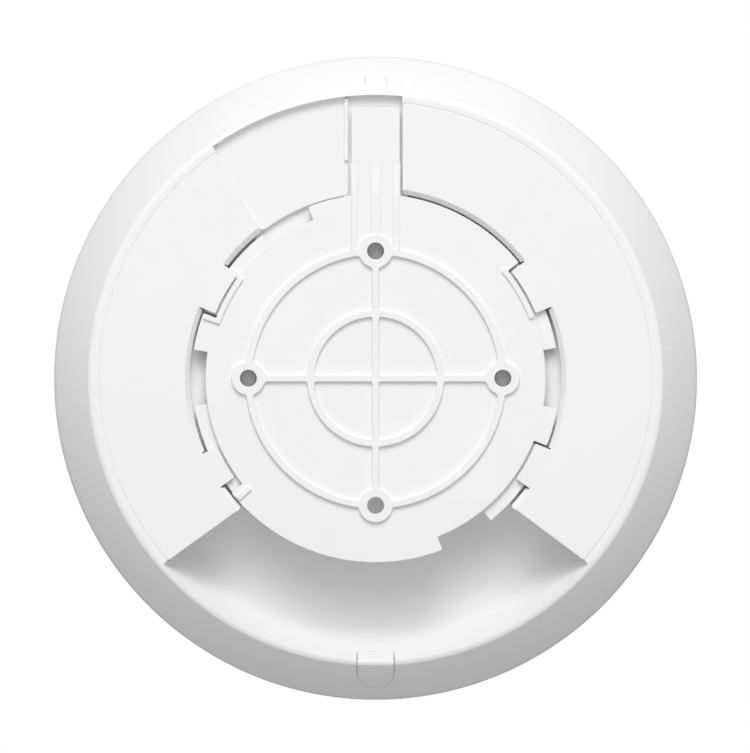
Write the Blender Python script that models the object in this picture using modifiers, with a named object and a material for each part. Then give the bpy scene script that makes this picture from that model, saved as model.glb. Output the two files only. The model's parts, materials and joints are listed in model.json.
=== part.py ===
"""Ceiling wireless access point on its twist-lock mounting plate.

Z = 0 is the ceiling face of the plate, +Z points up into the ceiling and +Y towards the locking tongue.
The numbers below are millimetres. to_m turns them into Blender's metres.
"""

import math

import bmesh
import bpy
from mathutils import Matrix, Vector

# Overall size
OUTER_R = 80.0
HEIGHT = 33.0
STEPS = 72
# Rear housing
TAPER_FOOT = (79.85, -10.9)
TAPER_TOP = (71.4, -1.2)
LIP_R = (69.5, 70.3)
LIP_Z = -0.5
PANEL_Z = -0.8
POCKET_R = 46.2
POCKET_TOP_R = 47.35
POCKET_FLOOR = -5.6
SHELL = 1.4
LUG_R = 42.8
LUGS = ((22.0, 38.2), (143.1, 158.1), (203.4, 215.2), (324.3, 337.9))
LUG_BOTTOM = -1.9
WINDOW_FLOOR = -2.6
SHELF = (100.0, 130.0)
SHELF_TOP = -3.6
SLOT_HALF = 6.68
SLOT_END = 70.3
SLOT_FLOOR = -3.0
DETENT = ((-7.4, -6.65), (53.8, 69.3), (-3.5, -1.9))
# The tool's way to the tongue, drawn in Y and Z: level at the slot, then falling to the sloping rim
PASSAGE_HALF = 2.8
PASSAGE_SIDE = ((69.0, -3.0), (70.3, -3.0), (77.0, -6.05), (77.0, -4.35), (70.3, -1.3), (69.0, -1.3))
RECESS_FLOOR = -18.4
COVE_FOOT_R = 58.0
COVE_LIP_R = 70.2
RECESS_CORNERS = ((-54.0, -47.1), (-33.6, -32.2), (-19.5, -24.6), (19.5, -24.6), (33.9, -31.9), (54.4, -47.2))
PLUG_HALF = 4.43
PLUG_NOTCH_HALF = 4.73
PLUG_AXIS_Z = -4.1
# Mounting plate
PLATE_TOP = -0.9
PLATE_BOTTOM = -3.3
LOW_TAB_TOP = -2.2
SCREW_RING_R = 31.6
SCREW_HOLE_D = 4.3
BOSS_D = 8.35
RIB_RINGS = (31.5, 16.1)
RIB_WIDTH = 1.6
# Outline of the plate: radius over each span of angle, anticlockwise seen from the ceiling side
PLATE_SPANS = (
    (-9.5, 39.0, 42.25), (39.0, 111.5, 45.7), (111.5, 159.3, 42.25), (159.3, 171.1, 45.7),
    (171.1, 218.4, 42.25), (218.4, 291.3, 45.7), (291.3, 338.5, 42.25), (338.5, 350.5, 45.7),
)
LOW_TABS = ((9.5, 38.6), (128.3, 158.4), (188.7, 219.0), (309.0, 337.8))
# Locking tongue
TONGUE_HALF = 6.0
TONGUE_ROOT = 45.9
TONGUE_TIP = 67.2
TONGUE_Z = (-2.2, -0.9)
TONGUE_RIBS = ((-6.0, -4.5), (-1.1, 1.25), (4.4, 6.0))
TONGUE_RIB_END = 53.8
# Front cover
DOME_RIM_Z = -11.3
DOME_POWER = 2.3
COVER_WALL = 2.2
RING_R = (26.35, 31.05)
# Electronics
BOARD_Z = (-21.0, -19.4)
BOARD_R = 65.0
POSTS = ((47.5, 33.3), (-47.5, 33.3), (-54.5, -19.8), (54.5, -19.8))
JACK = ((-8.0, 8.0), (-25.0, -3.5), (-19.3, -7.3))
SOCKET = ((-5.95, 5.95), (-26.0, -10.0), (-17.4, -9.4))
BUTTON_AT = (-12.2, -16.0)

MATERIALS = {
    "white_plastic": ((0.86, 0.86, 0.85), 0.45, 0.0),
    "cover_plastic": ((0.88, 0.88, 0.87), 0.38, 0.0),
    "light_guide": ((0.80, 0.84, 0.88), 0.20, 0.0),
    "circuit_board": ((0.02, 0.16, 0.07), 0.45, 0.0),
    "shield_steel": ((0.62, 0.62, 0.60), 0.30, 1.0),
    "aluminium_plate": ((0.76, 0.77, 0.78), 0.40, 1.0),
    "thermal_pad": ((0.42, 0.45, 0.50), 0.85, 0.0),
    "black_plastic": ((0.02, 0.02, 0.022), 0.50, 0.0),
    "antenna_metal": ((0.78, 0.74, 0.62), 0.32, 1.0),
    "screw_steel": ((0.55, 0.55, 0.56), 0.28, 1.0),
    "capacitor_can": ((0.70, 0.71, 0.73), 0.30, 1.0),
}

for old in list(bpy.data.objects):
    bpy.data.objects.remove(old, do_unlink=True)
parts = bpy.data.collections.new("ceiling_access_point")
cutters = bpy.data.collections.new("cutters")
bpy.context.scene.collection.children.link(parts)
bpy.context.scene.collection.children.link(cutters)


def to_m(*values):
    return tuple(v * 0.001 for v in values)


def material(slot):
    found = bpy.data.materials.get(slot)
    if found:
        return found
    colour, rough, metal = MATERIALS[slot]
    made = bpy.data.materials.new(slot)
    made.use_nodes = True
    shader = made.node_tree.nodes["Principled BSDF"]
    shader.inputs["Base Color"].default_value = (*colour, 1.0)
    shader.inputs["Roughness"].default_value = rough
    shader.inputs["Metallic"].default_value = metal
    return made


def add(name, mesh, slot=None):
    """Links a mesh as a part when it has a material slot, and as a hidden helper when it has none."""
    obj = bpy.data.objects.new(name, mesh)
    if slot:
        parts.objects.link(obj)
        mesh.materials.append(material(slot))
    else:
        cutters.objects.link(obj)
        obj.hide_render = True
        obj.display_type = "WIRE"
    return obj


def smooth(obj, angle=30):
    obj.data.shade_smooth()
    obj.data.set_sharp_from_angle(angle=math.radians(angle))
    return obj


def mesh_of(build):
    mesh = bpy.data.meshes.new("shape")
    shape = bmesh.new()
    build(shape)
    shape.to_mesh(mesh)
    shape.free()
    return mesh


def box(name, xs, ys, zs, slot=None):
    """A block between two values on each axis."""
    centre = Vector(to_m(sum(xs) / 2, sum(ys) / 2, sum(zs) / 2))
    size = to_m(xs[1] - xs[0], ys[1] - ys[0], zs[1] - zs[0])
    matrix = Matrix.Translation(centre) @ Matrix.Diagonal((*size, 1.0))
    return add(name, mesh_of(lambda s: bmesh.ops.create_cube(s, size=1.0, matrix=matrix)), slot)


def rod(name, at, radius, zs, slot=None, steps=32, turn=None):
    """A cylinder along Z, or along another direction when turned about its own middle."""
    matrix = Matrix.Translation(to_m(at[0], at[1], (zs[0] + zs[1]) / 2)) @ (turn or Matrix())

    def build(shape):
        bmesh.ops.create_cone(
            shape, cap_ends=True, segments=steps, radius1=radius * 0.001, radius2=radius * 0.001,
            depth=(zs[1] - zs[0]) * 0.001, matrix=matrix,
        )

    return smooth(add(name, mesh_of(build), slot))


def slab(name, loops, zs, slot=None):
    """A flat outline, with holes where loops lie inside one another, between two heights."""
    curve = bpy.data.curves.new(name, "CURVE")
    curve.dimensions = "2D"
    curve.fill_mode = "BOTH"
    curve.extrude = (zs[1] - zs[0]) * 0.0005
    for loop in loops:
        line = curve.splines.new("POLY")
        line.points.add(len(loop) - 1)
        for point, (x, y) in zip(line.points, loop):
            point.co = (x * 0.001, y * 0.001, 0.0, 1.0)
        line.use_cyclic_u = True
    guide = bpy.data.objects.new(name + "_outline", curve)
    cutters.objects.link(guide)
    mesh = bpy.data.meshes.new_from_object(guide.evaluated_get(bpy.context.evaluated_depsgraph_get()))
    bpy.data.objects.remove(guide, do_unlink=True)
    shape = bmesh.new()
    shape.from_mesh(mesh)
    bmesh.ops.remove_doubles(shape, verts=shape.verts, dist=1e-7)
    bmesh.ops.translate(shape, vec=(0, 0, (zs[0] + zs[1]) * 0.0005), verts=shape.verts)
    shape.to_mesh(mesh)
    shape.free()
    return add(name, mesh, slot)


def turned(name, profile, slot=None, steps=STEPS):
    """A profile of (radius, height) points turned about Z. It closes by itself unless it ends on the axis.

    A helper is turned on by half a step, so that its facets never lie in those of the part.
    """
    mesh = bpy.data.meshes.new(name)
    count = len(profile)
    edges = [(i, i + 1) for i in range(count - 1)]
    if profile[0][0] > 0:
        edges.append((count - 1, 0))
    mesh.from_pydata([to_m(r, 0, z) for r, z in profile], edges, [])
    obj = add(name, mesh, slot)
    screw = obj.modifiers.new("Turned", "SCREW")
    screw.steps = screw.render_steps = steps
    screw.use_merge_vertices = True
    screw.merge_threshold = 0.00001
    screw.use_smooth_shade = True
    if not slot:
        obj.rotation_euler.z = math.radians(180.0 / steps)
    return obj


def combine(obj, others, operation):
    for other in others:
        step = obj.modifiers.new(other.name, "BOOLEAN")
        step.operation = operation
        step.object = other
    return obj


def cut(obj, *others):
    return combine(obj, others, "DIFFERENCE")


def fuse(obj, *others):
    return combine(obj, others, "UNION")


def keep(obj, *others):
    return combine(obj, others, "INTERSECT")


def arc(radius, start, end, steps, centre=(0.0, 0.0)):
    """Points along an arc, in degrees, both ends included."""
    return [
        (
            centre[0] + radius * math.cos(math.radians(start + (end - start) * i / steps)),
            centre[1] + radius * math.sin(math.radians(start + (end - start) * i / steps)),
        )
        for i in range(steps + 1)
    ]


def ring_loop(radius, steps=STEPS, centre=(0.0, 0.0)):
    return arc(radius, 0, 360, steps, centre)[:-1]


def sector(inner, outer, start, end):
    steps = max(3, round((end - start) / 4))
    return arc(outer, start, end, steps) + arc(inner, end, start, steps)


def rounded(xs, ys, radius, steps=3):
    corners = ((xs[1], ys[1], 0), (xs[0], ys[1], 90), (xs[0], ys[0], 180), (xs[1], ys[0], 270))
    loop = []
    for x, y, start in corners:
        centre = (x - math.copysign(radius, x - sum(xs) / 2), y - math.copysign(radius, y - sum(ys) / 2))
        loop += arc(radius, start, start + 90, steps, centre)
    return loop


def dome(radius, depth=0.0):
    """Height of the dome's outer face at a radius, with the rim at full radius."""
    drop = HEIGHT + DOME_RIM_Z
    share = (1 - min(radius / OUTER_R, 1.0) ** DOME_POWER) ** (1 / DOME_POWER)
    return DOME_RIM_Z - drop * share + depth


# ---- Rear housing ----------------------------------------------------------------------------------
housing = turned("rear_housing", [
    (0, POCKET_FLOOR), (POCKET_R, POCKET_FLOOR), (POCKET_R, -1.9), (POCKET_TOP_R, PANEL_Z), (68.9, PANEL_Z),
    (LIP_R[0], LIP_Z), (LIP_R[1], LIP_Z), TAPER_TOP, TAPER_FOOT, (77.4, -11.2), (77.4, -14.0),
    (75.6, -14.0), (75.6, -9.4), (70.4, -2.8), (48.2, -2.6), (48.2, POCKET_FLOOR - SHELL),
    (0, POCKET_FLOOR - SHELL),
], "white_plastic")
envelope = turned("housing_envelope", [
    (0, -0.9), (68.9, -0.9), (LIP_R[0], -0.6), (LIP_R[1], -0.6), (71.3, -1.35), (78.7, -10.7),
    (76.0, -10.8), (74.0, -20.5), (0, -20.5),
])
window = [(-SLOT_HALF - 0.7, 44.0)] + [(-SLOT_HALF - 0.7, 70.1)] + arc(70.5, 97.2, 124.8, 8)[1:] \
    + [(-29.1, 38.75), (-24.0, 36.0)]
bay = slab("latch_bay", [
    [(-5.0, 40.0), (-22.0, 34.0), (-31.6, 38.2), (-43.0, 58.5)] + arc(72.4, 126.2, 83.2, 12)
    + [(8.5, 45.0)],
], (-7.8, -1.9))
pocket_room = rod("pocket_room", (0.0, 0.0), 46.8, (-6.3, 1.0), steps=60)
keep(bay, envelope)
cut(bay, pocket_room)
cove = [(COVE_FOOT_R + (COVE_LIP_R - COVE_FOOT_R) * t / 6, RECESS_FLOOR + 17.9 * (t / 6) ** 1.6) for t in range(7)]
bowl = turned("recess_bowl", [(0, 2.0), (70.2, 2.0), (70.2, -0.5)] + cove[::-1][1:] + [(0, RECESS_FLOOR)])
recess = slab("recess_cut", [list(RECESS_CORNERS) + [(60.0, -60.0), (0.0, -78.0), (-60.0, -60.0)]],
              (-22.0, 1.9))
keep(recess, bowl)
shell_bowl = turned("recess_shell_bowl", [
    (0, -2.1), (71.0, -2.1), (71.6, -4.0), (68.7, -10.0), (64.9, -15.6), (60.6, -20.0), (0, -20.0),
])
outer_corners = [(-56.0, -45.9), (-34.6, -30.5), (-20.0, -22.9), (20.0, -22.9), (34.9, -30.2), (56.4, -45.9)]
recess_shell = slab("recess_shell", [outer_corners + [(61.0, -61.0), (0.0, -79.0), (-61.0, -61.0)]],
                    (-22.0, -1.0))
keep(recess_shell, shell_bowl, envelope)
cut(recess_shell, pocket_room)


def plug_outline(half, top):
    return [(-half, top)] + arc(half, 180, 360, 12, (0.0, PLUG_AXIS_Z)) + [(half, top)]


def along_y(name, outline, ys, slot=None):
    """A slab drawn in X and Z and carried along Y."""
    obj = slab(name, [outline], (-ys[1], -ys[0]), slot)
    obj.data.transform(Matrix.Rotation(math.radians(90), 4, "X"))
    return obj


def along_x(name, side, xs):
    """A slab drawn in Y and Z and carried along X."""
    obj = slab(name, [side], xs)
    obj.data.transform(Matrix.Rotation(math.radians(90), 4, "Z") @ Matrix.Rotation(math.radians(90), 4, "X"))
    return obj


plug_block = along_y("plug_block", plug_outline(6.4, -1.3), (-78.5, -63.5))
keep(plug_block, envelope)
plug_notch = along_y("plug_notch", plug_outline(PLUG_NOTCH_HALF, 2.0), (-82.0, -66.1))
fuse(housing, bay, recess_shell, plug_block)
posts = [rod(f"post_{i}", at, 3.0, (-19.2, -2.0), steps=16) for i, at in enumerate(POSTS)]
fuse(housing, *posts)
cut(housing, slab("window_cut", [window], (WINDOW_FLOOR, 2.0)))
cut(housing, box("slot_cut", (-SLOT_HALF, SLOT_HALF), (38.0, SLOT_END), (SLOT_FLOOR, 2.1)))
fuse(housing, box("detent_rib", *DETENT), slab("notch_shelf", [sector(40.0, 46.9, *SHELF)], (-5.9, SHELF_TOP)))
cut(housing, along_x("passage_cut", PASSAGE_SIDE, (-PASSAGE_HALF, PASSAGE_HALF)), recess, plug_notch)
cut(housing, box("jack_aperture", (-8.3, 8.3), (-26.0, -21.0), (-19.7, -6.0)))
cut(housing, rod("button_hole", (BUTTON_AT[0], -24.0), 1.8, (BUTTON_AT[1] - 2, BUTTON_AT[1] + 2), steps=16,
                 turn=Matrix.Rotation(math.radians(90), 4, "X")))
cut(housing, *[rod(f"pilot_{i}", at, 1.2, (-20.0, -11.0), steps=12) for i, at in enumerate(POSTS)])
fuse(housing, *[slab(f"lug_{i}", [sector(LUG_R, 47.9, *span)], (LUG_BOTTOM, PANEL_Z - 0.02)) for i, span in enumerate(LUGS)])

# ---- Mounting plate --------------------------------------------------------------------------------
outline = []
for start, end, radius in PLATE_SPANS:
    outline += arc(radius, start, end, max(3, round((end - start) / 4)))
plate = slab("mounting_plate", [outline], (PLATE_BOTTOM, PLATE_TOP), "white_plastic")
fuse(plate, *[slab(f"low_tab_{i}", [sector(40.0, 45.5, *span)], (PLATE_BOTTOM + 0.001, LOW_TAB_TOP))
              for i, span in enumerate(LOW_TABS)])
for i, radius in enumerate(RIB_RINGS):
    half = RIB_WIDTH / 2
    loops = [ring_loop(radius + half, 48), ring_loop(radius - half, 48)]
    fuse(plate, slab(f"rib_ring_{i}", loops, (-1.6, 0.0)))
fuse(plate, box("rib_x", (-30.0, 30.0), (-0.75, 0.75), (-1.5, 0.0)))
fuse(plate, box("rib_y", (-0.75, 0.75), (-30.0, 30.0), (-1.4, 0.0)))
SCREWS = [(SCREW_RING_R * math.cos(math.radians(a)), SCREW_RING_R * math.sin(math.radians(a)))
          for a in (0, 90, 180, 270)]
fuse(plate, *[rod(f"screw_boss_{i}", at, BOSS_D / 2, (-2.0, 0.0), steps=24) for i, at in enumerate(SCREWS)])
for i, (x0, x1) in enumerate(TONGUE_RIBS):
    fuse(plate, box(f"root_rib_{i}", (x0, x1), (33.0 if x0 < -2 or x0 > 2 else 35.2, 45.5), (-1.7, -0.4)))
fuse(plate, slab("stop_rib_ur", [sector(41.0, 42.15, 21.0, 40.5)], (-1.6, -0.3)))
fuse(plate, slab("stop_rib_ul", [sector(41.0, 42.15, 143.0, 159.3)], (-1.6, -0.3)))
fuse(plate, slab("stop_arm_ul", [sector(41.5, 45.5, 159.3, 160.9)], (-1.7, -0.3)))
fuse(plate, slab("stop_arm_ll", [sector(41.5, 45.4, 220.2, 221.9)], (-1.7, -0.3)))
cut(plate, *[rod(f"screw_hole_{i}", at, SCREW_HOLE_D / 2, (-6.0, 2.0), steps=24) for i, at in enumerate(SCREWS)])

# ---- Locking tongue, with its origin on the bending line at its root -------------------------------
tongue = slab("locking_tongue", [rounded((-TONGUE_HALF, TONGUE_HALF), (TONGUE_ROOT, TONGUE_TIP), 0.5, 3)],
              TONGUE_Z, "white_plastic")
for i, (x0, x1) in enumerate(TONGUE_RIBS):
    side = [(TONGUE_ROOT + 0.01, -1.6), (TONGUE_RIB_END + 0.6, -1.6), (TONGUE_RIB_END, -0.8), (TONGUE_ROOT + 0.01, -0.4)]
    fuse(tongue, along_x(f"tongue_rib_{i}", side, (x0 + 0.01, x1 - 0.01)))
TONGUE_ORIGIN = Vector(to_m(0.0, TONGUE_ROOT, -1.55))
tongue.data.transform(Matrix.Translation(-TONGUE_ORIGIN))
tongue.location = TONGUE_ORIGIN

# ---- Cable plug ------------------------------------------------------------------------------------
plug = along_y("cable_plug", plug_outline(PLUG_HALF, 0.5), (-79.5, -67.6), "white_plastic")
plug_side = [(-67.6, -12.0), (-67.6, -6.4), (-70.4, -0.5), (-71.4, -1.2), (-77.9, -8.66), (-77.0, -12.0)]
keep(plug, along_x("plug_side", plug_side, (-6.0, 6.0)))

# ---- Front cover, light ring and centre cap --------------------------------------------------------
cover_radii = (31.4, 40.0, 48.0, 55.0, 61.0, 66.0, 70.0, 73.2, 75.6, 77.4, 78.8, 79.6, 80.0)
outer_face = [(r, dome(r)) for r in cover_radii]
inner_face = []
for before, here, after in zip(outer_face[:-2], outer_face[1:-1], outer_face[2:]):
    run, rise = after[0] - before[0], after[1] - before[1]
    length = math.hypot(run, rise)
    inner_face.append((min(here[0] - COVER_WALL * rise / length, 77.7), here[1] + COVER_WALL * run / length))
inner_face = [p for p in inner_face if p[0] < 77.6 and p[1] < -14.5]
cover = turned("front_cover", [(79.2, -11.45), (OUTER_R, DOME_RIM_Z - 0.5)] + outer_face[-2::-1]
               + [(31.4, -29.4), (33.4, -29.4), (33.6, dome(33.6, COVER_WALL))] + inner_face[1:]
               + [(77.7, -14.6), (77.7, -11.5)], "cover_plastic")
turned("light_ring", [
    (33.2, -28.2), (33.2, -29.2), (RING_R[1], -29.2), (RING_R[1], -31.85), (RING_R[0], -32.15),
    (RING_R[0], -29.2), (24.4, -29.2), (24.4, -28.2),
], "light_guide", 64)
turned("centre_cap", [
    (0, -30.8), (12.0, -30.7), (24.2, -30.2), (24.2, -29.4), (26.0, -29.4), (26.0, dome(26.0)),
    (18.0, dome(18.0)), (9.0, dome(9.0)), (0, -HEIGHT),
], "cover_plastic", 64)

# ---- Electronics -----------------------------------------------------------------------------------
board = slab("main_board", [ring_loop(BOARD_R)], BOARD_Z, "circuit_board")
cut(board, slab("board_notch", [
    [(-57.4, -44.9), (-34.9, -29.4), (-20.3, -22.0), (20.3, -22.0), (35.2, -29.1), (57.8, -44.9),
     (60.0, -75.0), (-60.0, -75.0)],
], (-23.0, -17.0)))
cut(board, *[rod(f"board_hole_{i}", at, 1.6, (-23.0, -17.0), steps=16) for i, at in enumerate(POSTS)])
for i, (x, y) in enumerate(POSTS):
    screw = turned(f"board_screw_{i + 1}", [(0, -14.0), (1.0, -14.4), (1.0, -21.1), (2.6, -21.1), (2.6, -22.3),
                                            (1.9, -22.9), (0, -22.9)], "screw_steel", 20)
    screw.location = to_m(x, y, 0)
jack = box("ethernet_jack", *JACK, "shield_steel")
cut(jack, box("socket_cut", *SOCKET))
box("jack_insert", (-5.6, 5.6), (-14.2, -10.3), (-17.1, -9.7), "black_plastic")
box("ethernet_transformer", (10.2, 24.2), (-18.6, -5.0), (-19.3, -13.4), "black_plastic")
slab("power_inductor", [rounded((26.6, 37.2), (-17.5, -6.9), 1.6)], (-19.3, -14.2), "black_plastic")
rod("capacitor_1", (-21.0, -6.0), 3.15, (-19.3, -12.2), "capacitor_can", 24)
rod("capacitor_2", (-21.0, -14.6), 3.15, (-19.3, -12.2), "capacitor_can", 24)
CHIPS = (("processor", (-13.0, 13.0), (12.0, 38.0)), ("radio_2g", (-41.5, -20.0), (8.0, 26.0)),
         ("radio_5g", (20.0, 41.5), (8.0, 26.0)))
for chip, xs, ys in CHIPS:
    slab(chip + "_shield", [rounded(xs, ys, 0.8, 2)], (-19.3, -17.3), "shield_steel")
    box(chip + "_thermal_pad", (xs[0] + 3, xs[1] - 3), (ys[0] + 3, ys[1] - 3), (-17.2, -16.6), "thermal_pad")
spreader_loop = [(61.0, 2.0)] + arc(61.0, 1.9, 178.1, 36) + [(-61.0, 2.0)]
spreader = slab("heat_spreader", [spreader_loop], (-16.5, -15.3), "aluminium_plate")
cut(spreader, *[rod(f"spreader_hole_{i}", at, 3.3, (-18.0, -13.0), steps=16) for i, at in enumerate(POSTS[:2])])
for i, angle in enumerate((24.0, 68.0, 112.0, 156.0)):
    foot = box(f"antenna_{i + 1}", (50.0, 54.0), (-7.0, 7.0), (-26.0, -25.5), "antenna_metal")
    fuse(foot, box(f"antenna_leg_{i}", (49.99, 50.5), (-5.0, 5.0), (-25.6, -21.1)))
    foot.rotation_euler.z = math.radians(angle)
    foot.modifiers[0].object.rotation_euler.z = math.radians(angle)
for i, angle in enumerate((45.0, 135.0, 225.0, 315.0)):
    led = box(f"status_led_{i + 1}", (27.7, 29.7), (-0.8, 0.8), (-22.0, -21.1), "light_guide")
    led.rotation_euler.z = math.radians(angle)
box("reset_switch", (BUTTON_AT[0] - 2.2, BUTTON_AT[0] + 2.2), (-20.0, -15.8), (-19.3, -13.6), "black_plastic")
button = rod("reset_button", (BUTTON_AT[0], -22.9), 1.5, (BUTTON_AT[1] - 2.1, BUTTON_AT[1] + 2.1), "black_plastic",
             20, turn=Matrix.Rotation(math.radians(90), 4, "X"))
button_origin = Vector(to_m(BUTTON_AT[0], -22.9, BUTTON_AT[1]))
button.data.transform(Matrix.Translation(-button_origin))
button.location = button_origin
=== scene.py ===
"""Ceiling wireless access point, lying with its mounting plate towards the viewer.

Lengths in the code are millimetres. Every piece is a surface worked out from a formula: a profile
carried round an outline, or heights over two parameters. publish() turns them into metres.
"""

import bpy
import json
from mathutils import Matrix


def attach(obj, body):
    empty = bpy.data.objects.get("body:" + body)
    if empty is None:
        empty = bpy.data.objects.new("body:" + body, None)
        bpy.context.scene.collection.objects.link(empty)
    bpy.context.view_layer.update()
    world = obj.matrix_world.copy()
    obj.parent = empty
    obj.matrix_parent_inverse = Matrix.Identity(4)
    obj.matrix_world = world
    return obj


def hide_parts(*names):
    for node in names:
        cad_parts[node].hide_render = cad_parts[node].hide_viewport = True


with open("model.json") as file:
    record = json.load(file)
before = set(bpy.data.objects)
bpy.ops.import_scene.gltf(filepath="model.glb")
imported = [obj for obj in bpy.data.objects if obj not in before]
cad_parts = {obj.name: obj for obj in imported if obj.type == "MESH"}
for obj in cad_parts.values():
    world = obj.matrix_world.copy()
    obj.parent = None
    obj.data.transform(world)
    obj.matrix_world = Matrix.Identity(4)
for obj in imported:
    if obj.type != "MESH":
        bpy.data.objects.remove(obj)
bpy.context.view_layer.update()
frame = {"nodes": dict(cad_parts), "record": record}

import json
import math

import bpy
import numpy as np
from mathutils import Vector
from mathutils.geometry import delaunay_2d_cdt

# Heights above and below the ceiling face, in millimetres
PANEL_Z = -0.8
POCKET_FLOOR = -5.1
WINDOW_FLOOR = -2.6
SLOT_FLOOR = -3.0
RECESS_FLOOR = -18.4
SHELF_TOP = -4.0
DETENT_TOP = -1.9
WALL_FOOT = -19.0
UNDERSIDE = -11.18
PLATE_TOP = -0.9
PLATE_BOTTOM = -3.3
LOW_TAB_TOP = -2.2
TONGUE_BOTTOM = -2.2
TONGUE_RIB_TOP = -0.4
STOP_TOP = -0.3
# Radii
OUTER_R = 80.0
PANEL_R = 68.46
SLOT_END_R = 70.4
POCKET_R = 46.2
POCKET_TOP_R = 47.35
TAPER_FOOT_R = 79.85
COVE_FOOT_R = 58.0
COVE_LIP_R = 70.2
COVE_RISE = 17.61
MOUTH_R = 73.4
SCREW_CIRCLE_R = 31.6
SLOT_HALF = 6.68
PLUG_HALF = 4.56
NOTCH_HALF = 4.69
THIN_EDGE = 0.14
BEND_Y = 45.75
# Tool way to the tongue: half its width, its height, its floor at the slot and how fast it falls outwards
WAY_HALF = 2.8
WAY_TALL = 1.7
WAY_FLOOR = -3.0
WAY_FALL = 0.456
# Axis of the cable way's round bottom at its inner end, and how much higher it is at its outer end
PLUG_AXIS_Z = -4.1
WAY_RISE = 1.3
LUGS = ((22.0, 38.2), (143.1, 158.1), (203.4, 215.2), (-35.7, -22.1))
LOW_TABS = ((9.5, 38.6), (128.3, 158.4), (188.7, 218.6), (309.0, 337.8))
PLATE_SPANS = (
    (-9.5, 39.0, 42.25), (39.0, 111.5, 45.7), (111.5, 159.3, 42.25), (159.3, 171.1, 45.7),
    (171.1, 218.4, 42.25), (218.4, 291.3, 45.7), (291.3, 338.5, 42.25), (338.5, 350.5, 45.7),
)
TONGUE_RIBS = (-5.25, 0.07, 5.2)
WINDOW_CORNER = (-40.6, 57.65)
WINDOW_INNER = (-29.65, 38.5)
RECESS_LEFT = ((-52.1, -45.7), (-33.4, -32.2), (-19.5, -24.6))
RECESS_RIGHT = ((52.6, -45.9), (33.9, -31.9), (19.5, -24.6))


# ---- Outlines ----------------------------------------------------------------------------------------
def arc(radius, start, end, centre=(0.0, 0.0), step=1.0):
    """Points on a circular arc, start and end in degrees, about one every step degrees."""
    turn = np.radians(np.linspace(start, end, max(3, int(abs(end - start) / step) + 2)))
    return np.c_[centre[0] + radius * np.cos(turn), centre[1] + radius * np.sin(turn)]


def line(*points):
    """Corner points of a straight-sided run, as an array."""
    return np.array(points, float)


def crossing(radius, inner, outer):
    """Where the straight line from inner to outer meets a circle about the middle."""
    a, b = np.array(inner, float), np.array(outer, float)
    way = (b - a) / np.linalg.norm(b - a)
    along = a @ way
    return a + way * (-along + math.sqrt(radius ** 2 - a @ a + along ** 2))


def angle_of(point):
    """Angle of a point about the middle, in degrees from +X."""
    return math.degrees(math.atan2(point[1], point[0]))


def outline(runs, spacing=0.3, soften=0.3):
    """A closed outline from runs of (points, facts): the points one even spacing apart along its length.

    The outline and its facts are then blurred along the length by a bell curve of width soften, which rounds
    corners and leaves straight and gently curved stretches where they are. Returns (points, facts).
    """
    rows = np.vstack([np.c_[points, np.tile(facts, (len(points), 1))] for points, facts in runs])
    rows = np.vstack([rows, rows[:1]])
    reach = np.r_[0, np.cumsum(np.linalg.norm(np.diff(rows[:, :2], axis=0), axis=1))]
    count = max(12, int(reach[-1] / spacing))
    even = np.linspace(0, reach[-1], count, endpoint=False)
    rows = np.column_stack([np.interp(even, reach, rows[:, k]) for k in range(rows.shape[1])])
    waves = np.fft.rfftfreq(count, reach[-1] / count)
    fade = np.exp(-2 * (math.pi * waves * soften) ** 2)
    rows = np.fft.irfft(np.fft.rfft(rows, axis=0) * fade[:, None], count, axis=0)
    return rows[:, :2], rows[:, 2:]


def plain(points, spacing=0.3, soften=0.3):
    return outline([(points, [0.0])], spacing, soften)[0]


def outward(points):
    """Unit normals on the right-hand side of a closed outline, which is away from its material."""
    along = np.roll(points, -1, axis=0) - np.roll(points, 1, axis=0)
    along /= np.linalg.norm(along, axis=1)[:, None]
    return np.c_[along[:, 1], -along[:, 0]]


def inside(points, loops):
    """Even-odd test of points against closed loops, all edges at once."""
    crossings = np.zeros(len(points), int)
    for loop in loops:
        a, b = loop, np.roll(loop, -1, axis=0)
        x, y = points[:, :1], points[:, 1:]
        spans = (a[None, :, 1] > y) != (b[None, :, 1] > y)
        rise = np.where(b[:, 1] == a[:, 1], 1.0, b[:, 1] - a[:, 1])
        meets = a[None, :, 0] + (y - a[None, :, 1]) / rise * (b[:, 0] - a[:, 0])[None, :]
        crossings += (spans & (x < meets)).sum(1)
    return crossings % 2 == 1


# ---- Pieces ------------------------------------------------------------------------------------------
def publish(name, points, faces, body, node, look, sharp=32.0):
    """One object in metres that rides on a body, stands for a CAD node and carries a finish."""
    mesh = bpy.data.meshes.new(name)
    mesh.from_pydata((np.asarray(points) * 0.001).tolist(), [], faces)
    mesh.validate()
    mesh.shade_smooth()
    mesh.set_sharp_from_angle(angle=math.radians(sharp))
    obj = bpy.data.objects.new(name, mesh)
    bpy.context.scene.collection.objects.link(obj)
    mesh.materials.append(FINISHES[look])
    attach(obj, body)
    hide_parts(node)


def quads(rows, cols, closed, keep=None, first=0):
    """Faces of a grid stored row by row, its rows running round when closed. keep masks faces out."""
    i, j = np.meshgrid(np.arange(rows if closed else rows - 1), np.arange(cols - 1), indexing="ij")
    k = (i + 1) % rows
    faces = np.stack([i * cols + j, i * cols + j + 1, k * cols + j + 1, k * cols + j], axis=-1)
    faces = faces.reshape(-1, 4) if keep is None else faces[keep]
    return (faces + first).tolist()


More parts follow.
